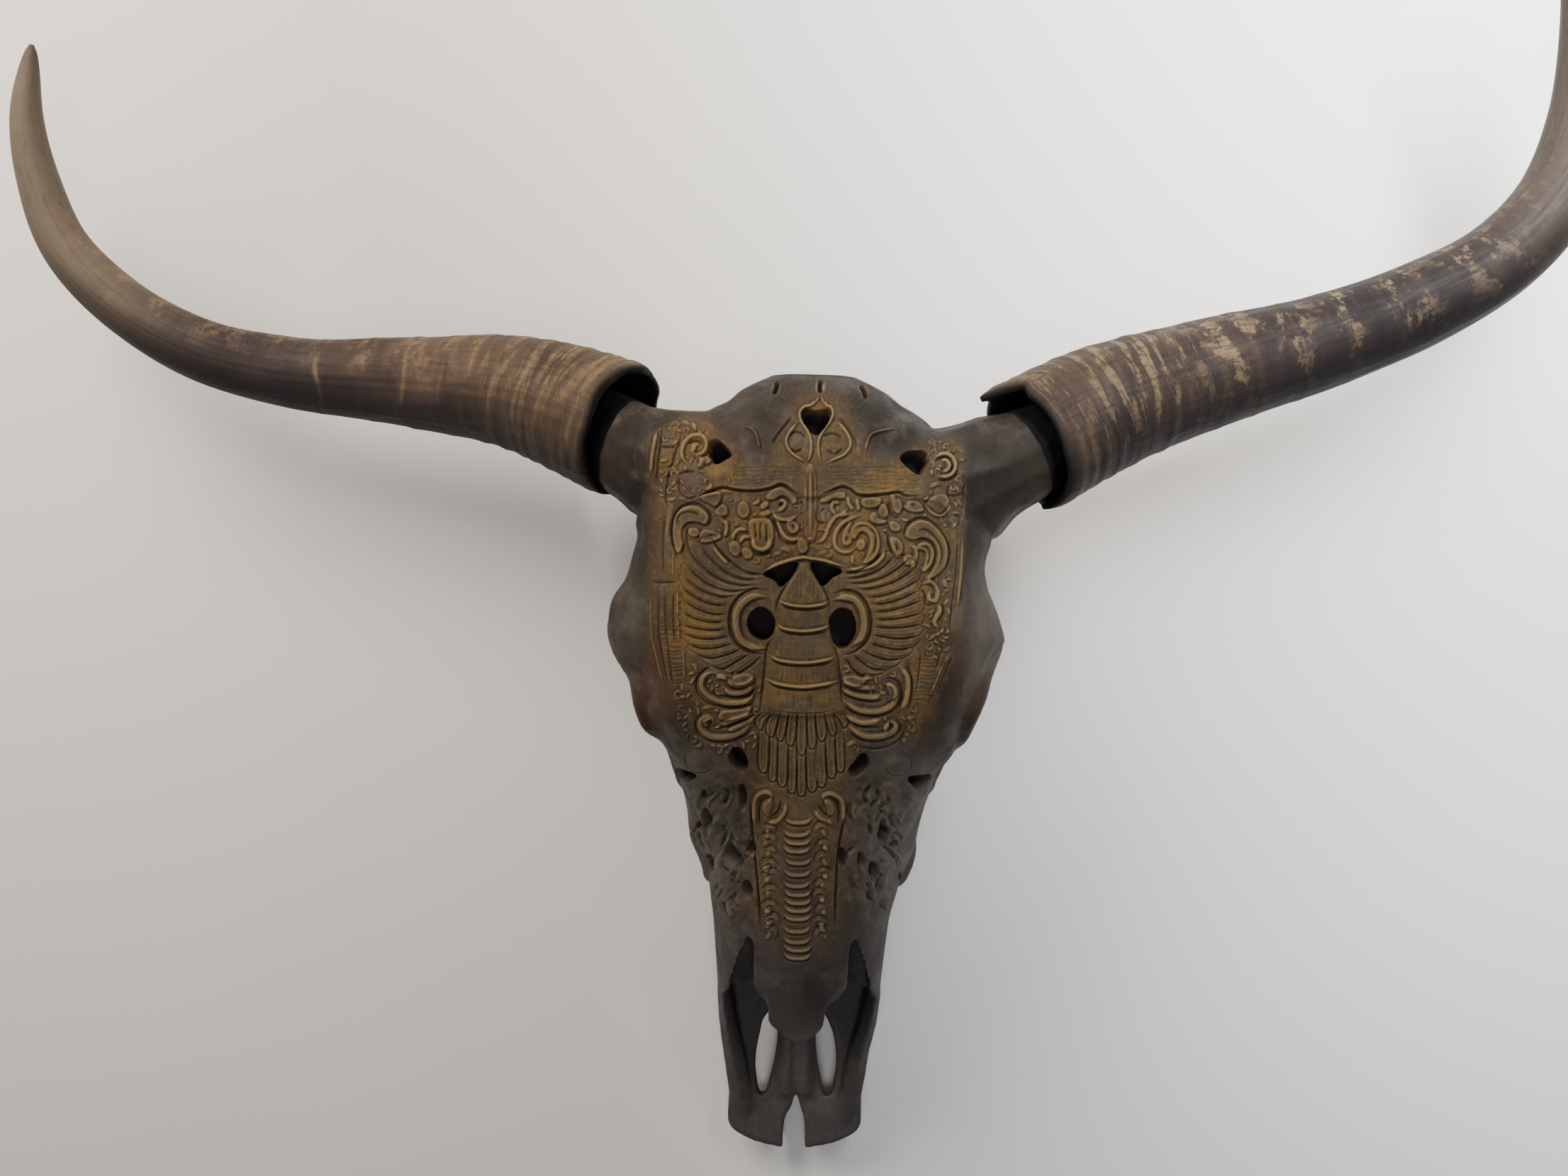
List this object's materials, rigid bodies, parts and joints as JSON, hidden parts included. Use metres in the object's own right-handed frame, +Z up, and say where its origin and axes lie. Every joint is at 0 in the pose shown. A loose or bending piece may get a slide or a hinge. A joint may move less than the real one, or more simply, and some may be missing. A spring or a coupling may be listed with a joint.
{
  "type": "carved bull skull",
  "caption": "Relief-carved bull skull lying face up, with cheek teeth below, open nose and eye sockets, and long curved horn sheaths slipped loosely over bone cores.",
  "frame": {"origin": "on the floor under the middle of the object's box", "axes": "+X across the skull toward the animal's left horn, +Y from the nose toward the poll, +Z up out of the forehead"},
  "size_m": [0.9876, 0.797, 0.1992],
  "materials": {
    "carved_bone": "bone stained dark brown, rubbed back to gold brown on the raised carving, satin",
    "side_bone": "bone stained dark brown, satin",
    "dark_bone": "bone stained almost black, satin",
    "horn": "weathered horn, grey brown with pale streaks and growth rings, tan toward the tips"
  },
  "bodies": {
    "root": {"cranium": "carved_bone", "nasal_bones": "carved_bone", "maxilla_left": "side_bone", "maxilla_right": "side_bone", "premaxilla_left": "dark_bone", "premaxilla_right": "dark_bone", "horn_left": "horn", "horn_right": "horn"}
  },
  "joints": []
}
